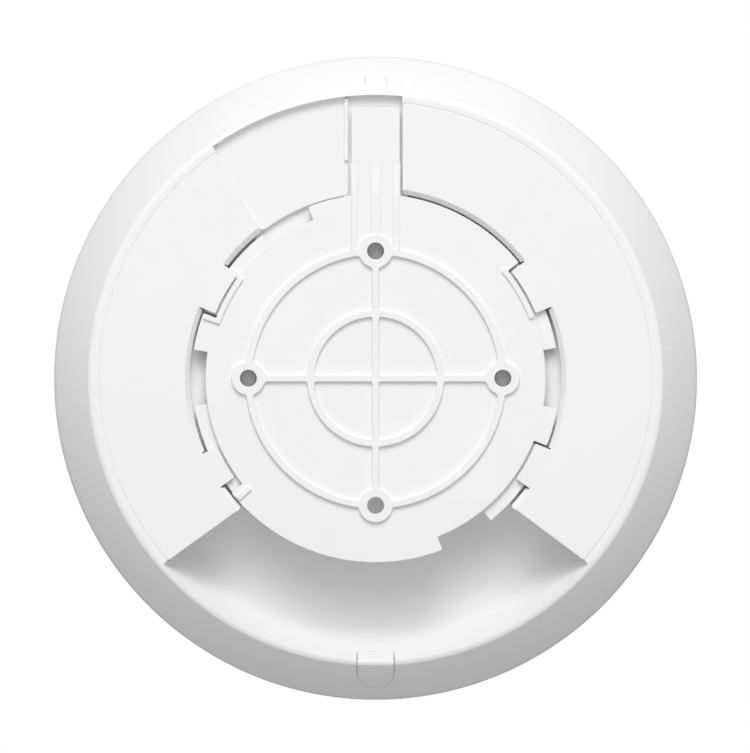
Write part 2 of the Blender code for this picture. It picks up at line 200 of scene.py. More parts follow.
def moulding(name, loops, rings, body, node, look, lid=True, floor=False):
    """A profile of (outward offset, height) rings carried round each outline, closed by a flat lid.

    Material lies to the left of each outline. Offsets and heights are numbers, or arrays with one value per
    point of the only outline. The lid spans the first rings of all the outlines, and a floor their last.
    """
    points, faces, start, tops, lasts = [], [], 0, [], []
    for loop in loops:
        normal = outward(loop)
        ring = np.stack([
            np.c_[loop + normal * np.reshape(shift, (-1, 1)), np.broadcast_to(height, len(loop))]
            for shift, height in rings
        ], axis=1)
        points.append(ring.reshape(-1, 3))
        faces += quads(len(loop), len(rings), True, first=start)
        tops.append((ring[:, 0, :2], start + np.arange(len(loop)) * len(rings)))
        lasts.append((ring[:, -1, :2], start + np.arange(len(loop)) * len(rings) + len(rings) - 1))
        start += ring.shape[0] * ring.shape[1]
    for wanted, ends, height, order_step in ((lid, tops, rings[0][1], 1), (floor, lasts, rings[-1][1], -1)):
        if not wanted:
            continue
        flat = np.vstack([xy for xy, _ in ends])
        index = np.concatenate([where for _, where in ends])
        edges, at = [], 0
        for xy, _ in ends:
            run = np.arange(len(xy)) + at
            edges += np.c_[run, np.roll(run, -1)].tolist()
            at += len(xy)
        found = delaunay_2d_cdt([Vector(p) for p in flat.tolist()], edges, [], 1, 1e-9)
        meets = [spot for spot, known in zip(found[0], found[3]) if not known]
        order = np.array([known[0] if known else -1 for known in found[3]])
        order[order < 0] = len(flat) + np.arange(len(meets))
        if meets:
            flat = np.vstack([flat, np.array(meets)])
            index = np.r_[index, start + np.arange(len(meets))]
            points.append(np.c_[np.array(meets), np.full(len(meets), float(height))])
            start += len(meets)
        triangles = order[np.array(found[2])]
        middle = flat[triangles].mean(1)
        triangles = triangles[inside(middle, [xy for xy, _ in ends])]
        side = flat[triangles]
        area = np.cross(side[:, 1] - side[:, 0], side[:, 2] - side[:, 0])
        triangles = np.where((area < 0)[:, None], triangles[:, ::-1], triangles)[:, ::order_step]
        faces += index[triangles].tolist()
    publish(name, np.vstack(points), faces, body, node, look)


def edge(radius, top, bottom, draft=0.0, steps=4, apron=0.04):
    """Rings of a rounded upper edge and a wall that leans out by draft on its way down to bottom."""
    turn = np.linspace(0, math.pi / 2, steps + 1)
    rounding = [(-radius * (1 - math.sin(a)), top - radius * (1 - math.cos(a))) for a in turn]
    return [(-radius - apron, top)] + rounding + [(draft, bottom)]


def turned(name, profile, body, node, look, steps=360, sharp=32.0):
    """A profile of (radius, height) points, from the outer side down, turned about the middle."""
    profile = np.array(profile, float)
    turn = np.radians(np.linspace(0, 360, steps, endpoint=False))
    points = np.stack([
        np.outer(np.cos(turn), profile[:, 0]), np.outer(np.sin(turn), profile[:, 0]),
        np.broadcast_to(profile[:, 1], (steps, len(profile))),
    ], axis=-1)
    publish(name, points.reshape(-1, 3), quads(steps, len(profile), True), body, node, look, sharp)


def sheet(name, points, body, node, look, closed=False, keep=None, sharp=32.0):
    """A surface given as a grid of points, rows by columns."""
    rows, cols = points.shape[:2]
    publish(name, points.reshape(-1, 3), quads(rows, cols, closed, keep), body, node, look, sharp)


# ---- Finishes ----------------------------------------------------------------------------------------
class Value:
    """A number in a node tree. Arithmetic on it adds Math nodes."""

    def __init__(self, tree, socket):
        self.tree, self.socket = tree, socket

    def math(self, operation, *others, clamp=False):
        node = self.tree.nodes.new("ShaderNodeMath")
        node.operation = operation
        node.use_clamp = clamp
        for slot, value in zip(node.inputs, (self, *others)):
            if isinstance(value, Value):
                self.tree.links.new(value.socket, slot)
            else:
                slot.default_value = value
        return Value(self.tree, node.outputs[0])

    def __add__(self, other):
        return self.math("ADD", other)

    def __sub__(self, other):
        return self.math("SUBTRACT", other)

    def __mul__(self, other):
        return self.math("MULTIPLY", other)

    def __rsub__(self, other):
        return (self * -1.0) + other

    __radd__ = __add__
    __rmul__ = __mul__

    def between(self, low, high):
        """0 below low, 1 above high and straight between them."""
        return ((self - low) * (1.0 / (high - low))).math("ADD", 0.0, clamp=True)


def feed(tree, slot, value):
    """Puts a constant on a socket, or links a Value or another node's output to it."""
    value = value.socket if isinstance(value, Value) else value
    if isinstance(value, bpy.types.NodeSocket):
        tree.links.new(value, slot)
    else:
        slot.default_value = value


class Finish:
    """One procedural material: a Principled shader and the nodes that vary it."""

    def __init__(self, name, **constants):
        self.material = bpy.data.materials.new(name)
        self.material.use_nodes = True
        self.tree = self.material.node_tree
        self.shader = self.tree.nodes["Principled BSDF"]
        for slot, value in constants.items():
            self.shader.inputs[slot.replace("_", " ")].default_value = value
        self.place = self.node("ShaderNodeTexCoord").outputs["Object"]

    def node(self, kind, settings=None, **sockets):
        made = self.tree.nodes.new(kind)
        for key, value in (settings or {}).items():
            setattr(made, key, value)
        for key, value in sockets.items():
            feed(self.tree, made.inputs[key.replace("_", " ")], value)
        return made

    def noise(self, scale, detail=2.0, rough=0.5, vector=None):
        made = self.node("ShaderNodeTexNoise", Vector=vector or self.place, Scale=scale, Detail=detail,
                         Roughness=rough)
        return Value(self.tree, made.outputs[0])

    def cells(self, scale, vector=None):
        made = self.node("ShaderNodeTexVoronoi", Vector=vector or self.place, Scale=scale)
        return Value(self.tree, made.outputs["Distance"])

    def mix(self, share, low, high):
        made = self.node("ShaderNodeMix", {"data_type": "RGBA"})
        for index, value in ((0, share), (6, low), (7, high)):
            feed(self.tree, made.inputs[index], (*value, 1.0) if isinstance(value, tuple) else value)
        return made.outputs[2]

    def wear(self):
        """1 on worn convex edges and 0 on flats and in corners."""
        point = Value(self.tree, self.node("ShaderNodeNewGeometry").outputs["Pointiness"])
        return point.between(0.52, 0.62)

    def finish(self, colour, rough, height, depth):
        self.tree.links.new(colour, self.shader.inputs["Base Color"])
        self.tree.links.new(rough.socket, self.shader.inputs["Roughness"])
        bump = self.node("ShaderNodeBump", Height=height, Distance=depth, Strength=1.0)
        self.tree.links.new(bump.outputs[0], self.shader.inputs["Normal"])
        return self.material


def moulded_plastic(name, light, dark, rough, grain_mm, depth_mm, **constants):
    """Injection-moulded plastic: spark-eroded grain, faint flow marks and slightly polished edges."""
    made = Finish(name, **constants)
    flow = made.noise(28.0, 3.0)
    patch = made.noise(210.0, 2.0)
    grain = made.noise(1000.0 / grain_mm, 2.0, 0.6)
    pits = made.cells(1400.0 / grain_mm)
    worn = made.wear()
    share = (flow * 0.55 + patch * 0.3 + grain * 0.15).between(0.3, 0.7)
    colour = made.mix(share, dark, light)
    colour = made.mix(worn * 0.35, colour, tuple(min(1.0, c * 1.03) for c in light))
    shine = rough + (patch - 0.5) * 0.10 + (grain - 0.5) * 0.12 - worn * 0.08
    return made.finish(colour, shine, grain * 0.7 + pits * 0.3, depth_mm * 0.001)


def metal(name, light, dark, rough, stretch, depth_mm, **constants):
    """Rolled or drawn metal: fine streaks along X, faint stains and brighter edges."""
    made = Finish(name, Metallic=1.0, **constants)
    along = made.node("ShaderNodeMapping", Vector=made.place, Scale=stretch).outputs[0]
    streak = made.noise(900.0, 3.0, vector=along)
    stain = made.noise(120.0, 4.0)
    worn = made.wear()
    colour = made.mix((streak * 0.5 + stain * 0.5).between(0.3, 0.7), dark, light)
    colour = made.mix(worn * 0.5, colour, tuple(min(1.0, c * 1.15) for c in light))
    shine = rough + (stain - 0.5) * 0.2 + (streak - 0.5) * 0.15
    return made.finish(colour, shine, streak, depth_mm * 0.001)


def circuit_board():
    """Solder mask over copper traces: a fine grid of cells shows as slightly lighter, raised tracks."""
    made = Finish("circuit_board", Coat_Weight=0.4)
    tracks = made.cells(260.0).between(0.32, 0.36)
    stain = made.noise(90.0, 3.0)
    colour = made.mix(tracks, (0.012, 0.11, 0.045), (0.03, 0.2, 0.085))
    colour = made.mix(stain * 0.25, colour, (0.02, 0.1, 0.05))
    return made.finish(colour, 0.35 + stain * 0.15, tracks + made.noise(2500.0) * 0.3, 0.00003)


FINISHES = {
    "white_plastic": moulded_plastic("white_plastic", (0.875, 0.875, 0.875), (0.855, 0.855, 0.855), 0.46,
                                     0.14, 0.006),
    "cover_plastic": moulded_plastic("cover_plastic", (0.885, 0.885, 0.88), (0.865, 0.865, 0.86), 0.36, 0.1,
                                     0.003),
    "light_guide": moulded_plastic("light_guide", (0.84, 0.87, 0.9), (0.78, 0.82, 0.87), 0.24, 0.3, 0.004,
                                   Transmission_Weight=0.25, Subsurface_Weight=0.3),
    "circuit_board": circuit_board(),
    "shield_steel": metal("shield_steel", (0.68, 0.68, 0.66), (0.55, 0.55, 0.54), 0.3, (0.06, 1.0, 1.0),
                          0.004),
    "aluminium_plate": metal("aluminium_plate", (0.8, 0.81, 0.82), (0.68, 0.69, 0.71), 0.36,
                             (0.05, 1.0, 1.0), 0.005),
    "thermal_pad": moulded_plastic("thermal_pad", (0.44, 0.47, 0.52), (0.36, 0.39, 0.44), 0.85, 0.5, 0.03),
    "black_plastic": moulded_plastic("black_plastic", (0.028, 0.028, 0.03), (0.018, 0.018, 0.02), 0.5, 0.15,
                                     0.008),
    "antenna_metal": metal("antenna_metal", (0.8, 0.76, 0.62), (0.66, 0.62, 0.5), 0.32, (0.08, 1.0, 1.0),
                           0.003),
    "screw_steel": metal("screw_steel", (0.6, 0.6, 0.62), (0.45, 0.45, 0.47), 0.3, (1.0, 1.0, 0.1), 0.004),
    "capacitor_can": metal("capacitor_can", (0.75, 0.76, 0.78), (0.62, 0.63, 0.65), 0.3, (1.0, 1.0, 0.05),
                           0.003),
}
for part in frame["record"]["subparts"]:
    mesh = frame["nodes"][part["node"]].data
    mesh.materials.clear()
    mesh.materials.append(FINISHES[part["material_slot"]])

# ---- Rear housing ------------------------------------------------------------------------------------
WHITE = ("unit", "rear_housing", "white_plastic")
# Facts of a panel's edge: width of its chamfer or rounding, its depth, 1 for a chamfer and 0 for a rounding,
# foot of the thin wall under it, and how far the wall stands back below that
POCKET_EDGE = [1.15, 1.1, 1.0, -6.8, 0.2]
LUG_EDGE = [THIN_EDGE, THIN_EDGE, 0.0, -1.9, 4.3]
PLAIN_EDGE = [THIN_EDGE, THIN_EDGE, 0.0, WALL_FOOT, 0.2]
SLOT_EDGE = [THIN_EDGE, THIN_EDGE, 0.0, -4.0, 0.2]
WINDOW_EDGE = [0.1, 0.1, 0.0, -1.15, 0.5]
SEAM_EDGE = [THIN_EDGE, 0.09, 0.0, -2.0, 0.2]
# The same two edges with a deep wall, where they turn into the cable recess
DEEP_POCKET_EDGE = POCKET_EDGE[:3] + PLAIN_EDGE[3:]
DEEP_SEAM_EDGE = SEAM_EDGE[:3] + PLAIN_EDGE[3:]


def pocket_edge(start, end, lugs):
    """The pocket's wall from one angle back to another, going clockwise, with its lugs standing inwards."""
    runs, at = [], start
    for low, high in sorted(lugs, reverse=True):
        turn = 0.28
        runs += [
            (arc(POCKET_TOP_R, at, high), POCKET_EDGE),
            (arc(47.3, high - turn, high - turn - 0.01), LUG_EDGE),
            (arc(43.02, high - turn, low + turn), LUG_EDGE),
            (arc(47.3, low + turn + 0.01, low + turn), LUG_EDGE),
        ]
        at = low
    return runs + [(arc(POCKET_TOP_R, at, end), POCKET_EDGE)]


def panel(name, runs):
    """Flat panel whose edge changes along its outline from chamfer to rounding, as the facts say."""
    points, facts = outline(runs, 0.25, 0.22)
    wide, deep, flat, foot, under = facts.T
    rings = [(-0.1, PANEL_Z)]
    for a in np.linspace(0, math.pi / 2, 5):
        out = flat * (a * 2 / math.pi) + (1 - flat) * math.sin(a)
        down = flat * (a * 2 / math.pi) + (1 - flat) * (1 - math.cos(a))
        rings.append((wide * out, PANEL_Z - deep * down))
    rings += [(wide, foot), (wide - under, foot), (wide - under, np.minimum(foot, -6.8))]
    moulding(name, [points], rings, *WHITE)


def beside(inner, outer, shift):
    """The two points moved sideways by shift, to the left of the way from inner to outer."""
    a, b = np.array(inner, float), np.array(outer, float)
    way = (b - a) / np.linalg.norm(b - a)
    aside = np.array([-way[1], way[0]]) * shift
    return a + aside, b + aside


slot_x = SLOT_HALF + THIN_EDGE
slot_right = (slot_x, math.sqrt(POCKET_TOP_R ** 2 - slot_x ** 2))
slot_right_out = (slot_x, math.sqrt(PANEL_R ** 2 - slot_x ** 2))
right_side = beside(RECESS_RIGHT[1], RECESS_RIGHT[0], THIN_EDGE)
right_in, right_out = crossing(POCKET_TOP_R, *right_side), crossing(PANEL_R, *right_side)
panel("panel_right", [
    (line(slot_right_out, slot_right), SLOT_EDGE),
    *pocket_edge(angle_of(slot_right), angle_of(right_in) + 1.5, [LUGS[0], LUGS[3]]),
    (arc(POCKET_TOP_R, angle_of(right_in) + 1.49, angle_of(right_in)), DEEP_POCKET_EDGE),
    (line(right_in, right_out), PLAIN_EDGE),
    (arc(PANEL_R, angle_of(right_out), angle_of(right_out) + 1.0), DEEP_SEAM_EDGE),
    (arc(PANEL_R, angle_of(right_out) + 1.01, angle_of(slot_right_out)), SEAM_EDGE),
])
left_side = beside(RECESS_LEFT[1], RECESS_LEFT[0], -THIN_EDGE)
left_in, left_out = crossing(POCKET_TOP_R, *left_side), crossing(PANEL_R, *left_side)
window_side = beside(WINDOW_INNER, WINDOW_CORNER, THIN_EDGE)
window_out = crossing(PANEL_R, *window_side)
further_in = window_side[0] * 0.9 + (window_side[0] - window_side[1]) * 0.1
window_in = crossing(POCKET_TOP_R, further_in, window_side[0])
panel("panel_left", [
    (arc(PANEL_R, angle_of(window_out), angle_of(left_out) + 358.99), SEAM_EDGE),
    (arc(PANEL_R, angle_of(left_out) + 359, angle_of(left_out) + 360), DEEP_SEAM_EDGE),
    (line(left_out, left_in), PLAIN_EDGE),
    (arc(POCKET_TOP_R, angle_of(left_in) + 360, angle_of(left_in) + 358.51), DEEP_POCKET_EDGE),
    *pocket_edge(angle_of(left_in) + 358.5, angle_of(window_in), [LUGS[1], LUGS[2]]),
    (line(window_in, window_out), WINDOW_EDGE),
])

LIP = np.array([
    (68.52, -0.98), (68.68, -0.98), (68.76, -0.86), (68.84, -0.8), (69.2, -0.79), (69.6, -0.78), (70.0, -0.78),
    (70.2, -0.79), (70.45, -0.82), (70.8, -0.9), (71.15, -1.04), (71.35, -1.15), (71.5, -1.28), (71.7, -1.5),
])


def taper(r):
    """Height of the sloping outer band at a radius: a straight slope that bulges out by 0.25 mm."""
    share = (r - 71.4) / 8.45
    return -1.2 - 9.7 * share + 1.0 * share * (1 - share)


def lip_height(r):
    """Height of the rim at a radius: the rounded lip's profile, then the sloping band."""
    return np.where(r < 71.7, np.interp(r, LIP[:, 0], LIP[:, 1]), taper(r))


def cove_height(r):
    """Height of the recess's floor: flat, then rising to the lip ever more steeply."""
    return RECESS_FLOOR + COVE_RISE * np.clip((r - COVE_FOOT_R) / (COVE_LIP_R - COVE_FOOT_R), 0, None) ** 2.3


def tunnel_height(u, rise=0.0):
    """Height of the cable way's round bottom at a distance u to the side of its middle. It rises outwards."""
    return PLUG_AXIS_Z + rise - np.sqrt(np.clip(NOTCH_HALF ** 2 - u ** 2, 0, None))


def mouth(x):
    """Radii where the tool way's roof and floor break through the sloping band.

    x is the distance from the middle of the way. The way is a flat oval that falls outwards. Its half circles
    narrow it towards both of its sides.
    """
    round_off = WAY_TALL / 2 - np.sqrt(np.clip(WAY_TALL ** 2 / 4 - np.clip(
        np.abs(x) - WAY_HALF + WAY_TALL / 2, 0, None) ** 2, 0, None))
    fine = np.linspace(71.0, 77.0, 1200)
    above = WAY_FALL * (fine - 70.3) + taper(fine)
    roof, floor = WAY_FLOOR + WAY_TALL - round_off, WAY_FLOOR + round_off
    return np.interp(-roof, -above, fine), np.interp(-floor, -above, fine)


def rim():
    """Lip and sloping band: columns round the middle, each a row of radii with heights from lip_height.

    Where the recess, the slot and the window reach the lip, each column starts further out. At the cable way
    the columns run straight out and start where the band's slope meets the way's round bottom. Two rows part
    to follow the mouth of the tool way.
    """
    slot_angle = math.degrees(math.asin(SLOT_HALF / 70.3))
    window_angle = angle_of(crossing(SLOT_END_R, WINDOW_INNER, WINDOW_CORNER))
    left = angle_of(crossing(69.5, RECESS_LEFT[1], RECESS_LEFT[0])) + 360
    right = angle_of(crossing(69.5, RECESS_RIGHT[1], RECESS_RIGHT[0])) + 360
    notch = math.degrees(math.asin(NOTCH_HALF / 72.0))
    edges = [90 - slot_angle, window_angle, left, right]
    wave = np.sin(np.linspace(-1, 1, 41) * math.pi / 2)
    at_mouth = 90 + np.degrees(np.arcsin(wave * WAY_HALF / MOUTH_R))
    turn = np.r_[np.arange(0, 360, 0.5), np.ravel([(e - 0.04, e + 0.04) for e in edges]), at_mouth]
    turn = np.unique(turn[np.abs(turn - 270) > notch + 0.25])
    side = np.r_[-NOTCH_HALF - 0.02, NOTCH_HALF * wave, NOTCH_HALF + 0.02]
    turn = np.r_[turn[turn < 270], np.full(len(side), 270.0), turn[turn > 270]]
    way = turn == 270
    offset = np.zeros(len(turn))
    offset[way] = side
    start = np.full(len(turn), LIP[0, 0])
    foot = np.full(len(turn), -7.0)
    over_slot = (turn > edges[0]) & (turn < edges[1])
    start[over_slot] = SLOT_END_R
    foot[over_slot] = -3.4
    over_recess = (turn > edges[2]) & (turn < edges[3])
    start[over_recess] = COVE_LIP_R
    foot[over_recess] = -2.0
    deep = way & (np.abs(offset) <= NOTCH_HALF)
    fine = np.linspace(71.4, 79.6, 800)
    foot[deep] = tunnel_height(offset[deep], WAY_RISE)
    start[deep] = np.interp(-foot[deep], -taper(fine), fine)
    cove = np.linspace(COVE_FOOT_R, COVE_LIP_R, 800)
    inner = start.copy()
    low = foot.copy()
    low[deep] -= WAY_RISE
    inner[deep] = np.interp(low[deep], cove_height(cove), cove) - 0.05

    across = np.where(way, 99.0, MOUTH_R * np.cos(np.radians(turn)))
    across[np.sin(np.radians(turn)) < 0] = 99.0
    open_in, open_out = mouth(np.clip(across, -WAY_HALF, WAY_HALF))
    middle = (open_in[0] + open_out[0]) / 2
    radii = np.r_[
        LIP[:, 0], 72.1, middle, middle, 75.2, 76.2, 77.2, 78.2, 79.0, 79.5, 79.7, 79.8, TAPER_FOOT_R
    ]
    parting = len(LIP) + 1
    r = np.tile(radii, (len(turn), 1))
    r[:, parting] = np.minimum(open_in, middle - 0.05)
    r[:, parting + 1] = np.maximum(open_out, middle + 0.05)
    r = np.maximum(r, start[:, None] + 0.002 * np.arange(1, len(radii) + 1))
    z = lip_height(r)
    z[:, -3:] += [-0.03, -0.1, -0.25]
    lead_r = np.c_[inner, start, start]
    lead_z = np.c_[low, np.where(deep, foot, np.maximum(foot, WAY_FLOOR)),
                   np.where(deep, foot, np.maximum(foot, WAY_FLOOR + WAY_TALL))]
    under_r = np.tile([79.6, 77.5], (len(turn), 1))
    r = np.hstack([lead_r, r, under_r])
    z = np.hstack([lead_z, z, 0 * under_r + UNDERSIDE])
    angle = np.radians(turn)[:, None] + np.where(way[:, None], np.arcsin(offset[:, None] / r), 0)
    points = np.stack([r * np.cos(angle), r * np.sin(angle), z], axis=-1)
    keep = np.ones((len(turn), points.shape[1] - 1), bool)
    open_turn = (turn >= at_mouth[0] - 1e-6) & (turn < at_mouth[-1] - 1e-6)
    keep[open_turn, 3 + parting] = False
    keep[open_turn, 1] = False
    sheet("rim", points[::-1], *WHITE, closed=True, keep=np.roll(keep[::-1], -1, axis=0))


def release_way():
    """The tool's way through the rim: a flat oval carried out from the slot, falling to the sloping band.

    At the slot its corners are square. Its outer end follows the mouth's two curves.
    """
    turn = np.radians(np.r_[np.linspace(-90, 90, 17), np.linspace(90, 270, 17)])
    cheek = np.repeat([1.0, -1.0], 17) * (WAY_HALF - WAY_TALL / 2)
    x = cheek + WAY_TALL / 2 * np.cos(turn)
    z = WAY_FLOOR + WAY_TALL / 2 * (1 + np.sin(turn))
    open_in, open_out = mouth(x)
    end = np.where(np.sin(turn) > 0, open_in, open_out)
    share = np.linspace(0, 1, 8)[None, :]
    first_y = SLOT_END_R - 0.05
    y = first_y + (np.sqrt(end ** 2 - x ** 2)[:, None] - first_y) * share
    height = z[:, None] + (taper(end) - z)[:, None] * share
    square = np.where(share == 0, 1 / np.maximum(np.abs(np.cos(turn)), np.abs(np.sin(turn)))[:, None], 1.0)
    middle = WAY_FLOOR + WAY_TALL / 2 + 0 * share
    height = np.where(share == 0, middle + (height - middle) * square, height)
    x = cheek[:, None] + (x - cheek)[:, None] * square
    points = np.stack([x, y, height], axis=-1)
    sheet("release_way", points[::-1], *WHITE, closed=True)


def recess_floor():
    """Cable recess: rows of one radius each from side to side, with the height of the cove at that radius.

    Across the cable way the rows stop where the cove meets the way's round bottom.
    """
    radii = np.unique(np.r_[
        20.0, 29.0, np.arange(31.5, 58.0, 1.5), np.linspace(58, 70.0, 41), 70.12, COVE_LIP_R
    ])
    fine = np.linspace(0, 1, 60)[:, None]
    low, high = [], []
    for corners, found in ((RECESS_LEFT, low), (RECESS_RIGHT, high)):
        outer, inner, end = (np.array(corner, float) for corner in corners)
        path = np.vstack([end + (inner - end) * fine, inner + (outer - inner) * fine[1:]])
        found.append(np.interp(radii, np.hypot(*path.T), np.degrees(np.arctan2(path[:, 0], -path[:, 1]))))
    low, high = low[0][:, None], high[0][:, None]
    share = np.linspace(0, 1, 60)[None, :] ** 0.8
    offset = NOTCH_HALF * np.sin(np.linspace(-1, 1, 41) * math.pi / 2)[None, :]
    wall = np.degrees(np.arcsin((NOTCH_HALF + 0.02) / radii))[:, None]
    cove = np.linspace(COVE_FOOT_R, COVE_LIP_R, 800)
    r = np.minimum(radii[:, None], np.interp(tunnel_height(offset), cove_height(cove), cove))
    way = np.degrees(np.arcsin(offset / r))
    bearing = np.radians(np.hstack([low + (-wall - low) * share, way, wall + (high - wall) * share]))
    flat = np.broadcast_to(radii[:, None], (len(radii), 60))
    r = np.hstack([flat, r, flat])
    points = np.stack([r * np.sin(bearing), -r * np.cos(bearing), cove_height(r)], axis=-1)
    sheet("recess_floor", points[:, ::-1], *WHITE, sharp=50)


rim()
release_way()
recess_floor()
pocket = [
    (arc(POCKET_R + 0.4, angle_of(right_in), angle_of(left_in) + 360), [0.0]),
    (line(RECESS_LEFT[1], RECESS_LEFT[2], RECESS_RIGHT[2], RECESS_RIGHT[1]), [0.0]),
]
moulding("pocket_floor", [outline(pocket, 0.4, 0.4)[0]], edge(0.4, POCKET_FLOOR, WALL_FOOT), *WHITE)
window = np.vstack([
    line((-SLOT_HALF, 45.6), (-SLOT_HALF, SLOT_END_R)), arc(71.0, 95.6, 126.5),
    line((-44.0, 57.0), (-32.0, 37.0)),
    arc(46.0, 127.0, 99.0),
])
moulding("window_floor", [plain(window, 0.25, 0.6)], edge(0.25, WINDOW_FLOOR, -4.4), *WHITE)
moulding("slot_floor", [plain(line((-8.0, 41.0), (8.0, 41.0), (8.0, 71.3), (-8.0, 71.3)), 0.3, 0.5)],
         edge(0.2, SLOT_FLOOR, -4.4), *WHITE)
shelf = np.vstack([arc(46.4, 99.5, 131.0), arc(40.0, 131.0, 99.5)])
moulding("notch_shelf", [plain(shelf, 0.3, 0.4)], edge(0.2, SHELF_TOP, -5.8), *WHITE)
detent = np.vstack([line((-7.8, 69.6)), line((-7.8, 54.3)), line((-7.3, 53.8)), line((-6.8, 54.3)),
                    line((-6.8, 69.6))])
moulding("detent_rib", [plain(detent, 0.12, 0.08)], edge(0.15, DETENT_TOP, -3.4, 0.05), *WHITE)


def window_fillet():
    """The hollow quarter round between the window's floor and the lip, carried round the lip."""
    radius = 1.35
    turn = np.radians(np.linspace(96.2, 124.2, 80))[:, None]
    sweep = np.linspace(0, math.pi / 2, 9)[None, :]
    r = SLOT_END_R + 0.02 - radius * (1 - np.cos(sweep))
    z = WINDOW_FLOOR + 0.01 + radius * (1 - np.sin(sweep)) + 0 * turn
    sheet("window_fillet", np.stack([r * np.cos(turn), r * np.sin(turn), z], axis=-1)[:, ::-1], *WHITE)


window_fillet()

# ---- Mounting plate ----------------------------------------------------------------------------------
PLATE = ("mounting_plate", "mounting_plate", "white_plastic")
SCREWS = SCREW_CIRCLE_R * np.array([(1, 0), (0, 1), (-1, 0), (0, -1)], float)


def hole(centre, radius, step=4.0):
    """A round hole's outline, clockwise, so that the material lies outside it."""
    return arc(radius, 360, 0, centre, step)[:-1]


disc = np.vstack([arc(radius, start, end) for start, end, radius in PLATE_SPANS])
moulding("plate_disc", [plain(disc, 0.25, 0.22)] + [hole(c, 3.0) for c in SCREWS],
         edge(0.12, PLATE_TOP, -1.45) + [(-0.45, -1.5), (-0.45, PLATE_BOTTOM)], *PLATE, floor=True)
for number, (start, end) in enumerate(LOW_TABS):
    tab = np.vstack([arc(45.45, start, end), arc(41.0, end, start)])
    moulding(f"low_tab_{number + 1}", [plain(tab, 0.25, 0.22)],
             edge(0.1, LOW_TAB_TOP, PLATE_BOTTOM + 0.02), *PLATE, floor=True)


def rib_network():
    """Ring ribs, cross ribs and screw bosses as one raised shape: its outer outline and the cells between."""
    outer, middle, inner = (32.35, 30.7), (16.95, 15.3), 0.8
    boss = 4.175
    at = (outer[0] ** 2 + SCREW_CIRCLE_R ** 2 - boss ** 2) / (2 * SCREW_CIRCLE_R)
    out_turn = math.degrees(math.acos(at / outer[0]))
    out_own = math.degrees(math.atan2(math.sqrt(outer[0] ** 2 - at ** 2), at - SCREW_CIRCLE_R))
    at = (outer[1] ** 2 + SCREW_CIRCLE_R ** 2 - boss ** 2) / (2 * SCREW_CIRCLE_R)
    in_turn = math.degrees(math.acos(at / outer[1]))
    in_own = math.degrees(math.atan2(math.sqrt(outer[1] ** 2 - at ** 2), at - SCREW_CIRCLE_R))
    rib_own = 180 - math.degrees(math.asin(inner / boss))
    bound, cells = [], []
    for quarter, centre in zip((0, 90, 180, 270), SCREWS):
        bound += [arc(boss, quarter - out_own, quarter + out_own, centre, 4.0),
                  arc(outer[0], quarter + out_turn, quarter + 90 - out_turn)]
        ahead = SCREWS[(quarter // 90 + 1) % 4]
        small = math.degrees(math.asin(inner / middle[0]))
        cells.append(np.vstack([
            arc(middle[0], quarter + small, quarter + 90 - small),
            arc(boss, quarter + 90 - rib_own, quarter + 90 - in_own, ahead, 4.0),
            arc(outer[1], quarter + 90 - in_turn, quarter + in_turn),
            arc(boss, quarter + in_own, quarter + rib_own, centre, 4.0),
        ]))
        small = math.degrees(math.asin(inner / middle[1]))
        corner = np.radians(quarter + 45)
        cells.append(np.vstack([
            arc(middle[1], quarter + 90 - small, quarter + small),
            line((inner * math.sqrt(2) * math.cos(corner), inner * math.sqrt(2) * math.sin(corner))),
        ]))
    loops = [plain(np.vstack(bound), 0.25, 0.3)] + [plain(cell, 0.25, 0.42) for cell in cells]
    loops += [hole(c, 2.1, 6.0) for c in SCREWS]
    turn = np.linspace(0, math.pi / 2, 4)
    foot = [(0.03 + 0.14 * (1 - math.cos(a)), PLATE_TOP + 0.14 * (1 - math.sin(a))) for a in turn]
    rings = [(-0.22, 0.0), (-0.12, 0.0), (-0.07, -0.01), (-0.035, -0.035), (-0.01, -0.07), (0.0, -0.12)] + foot
    moulding("rib_network", loops[:-4], rings, *PLATE, lid=False)
    bore = [(-0.22, 0.0), (-0.12, 0.0), (-0.06, -0.02), (-0.015, -0.07), (0.0, -0.12), (0.0, -3.4)]
    rib_top(loops, rings, bore)


def rib_top(loops, rings, bore):
    """The flat top of the ribs, between their outlines and the screw holes, and the bores under it.

    The last four loops are the holes. The lid's two rings are a hair apart and level with each other.
    """
    tops = [loop + outward(loop) * (rings[0][0] if k < len(loops) - 4 else bore[0][0])
            for k, loop in enumerate(loops)]
    moulding("rib_top", tops, [(0.0, 0.0), (0.001, 0.0)], *PLATE)
    moulding("screw_bores", loops[-4:], bore, *PLATE, lid=False)


rib_network()


def straight_rib(name, x, half, ys, tops, base, target):
    """A rib along Y: a rounded section across, its height running straight from tops[0] to tops[1]."""
    lean = 0.06
    across = np.array([(-half - lean - 0.1, 0.0), (-half - lean, 0.08), (-half, 0.9), (-half + 0.05, 0.97),
                       (-half + 0.15, 1.0), (half - 0.15, 1.0), (half - 0.05, 0.97), (half, 0.9),
                       (half + lean, 0.08), (half + lean + 0.1, 0.0)])
    y = np.linspace(*ys, 24)
    height = np.interp(y, ys, tops) - base
    shape = (len(y), len(across))
    points = np.stack([
        np.broadcast_to(x + across[:, 0], shape), np.broadcast_to(y[:, None], shape),
        base + height[:, None] * across[None, :, 1],
    ], axis=-1)
    sheet(name, points, *target)


